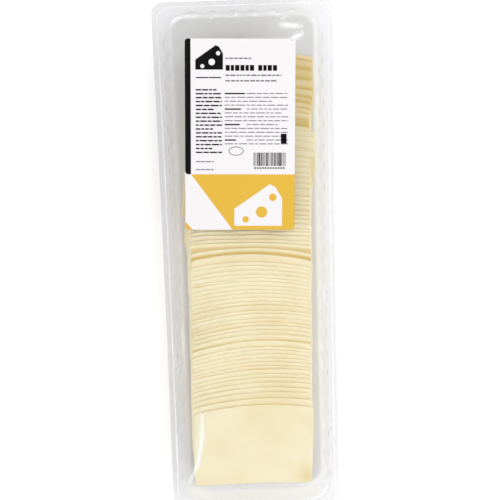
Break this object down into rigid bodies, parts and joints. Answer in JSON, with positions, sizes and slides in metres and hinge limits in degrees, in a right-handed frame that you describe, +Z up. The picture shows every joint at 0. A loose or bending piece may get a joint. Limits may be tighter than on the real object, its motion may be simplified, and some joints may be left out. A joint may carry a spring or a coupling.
{
  "type": "pack of sliced cheese",
  "caption": "Long shallow clear tray with fluted walls and a flat flange, sealed with clear film and a paper label, holding a fanned row of thin cheese slices",
  "frame": {"origin": "middle of the underside of the tray floor, which is the middle of the bottom of the bounding box", "axes": "+Z up with the lid film on top, +Y along the pack towards the labelled end, +X across the pack to the right when the label is at the far end"},
  "size_m": [0.1442, 0.422, 0.0371],
  "materials": {
    "tray_sheet": "clear thermoformed polyester sheet, smooth and glossy, greyer where it is seen edge on",
    "lid_film": "thin clear lidding film, glossy, pulled into faint tension folds at the corners",
    "label_paper": "coated white label paper, semi-gloss, with a black bar, grey text-like lines and a gold field with white shapes",
    "cheese": "smooth moist semi-hard cheese, pale yellow, deeper in the grooves between slices"
  },
  "bodies": {
    "root": {"tray": "tray_sheet", "lid_film": "lid_film", "label": "label_paper", "cheese_slices": "cheese"}
  },
  "joints": []
}
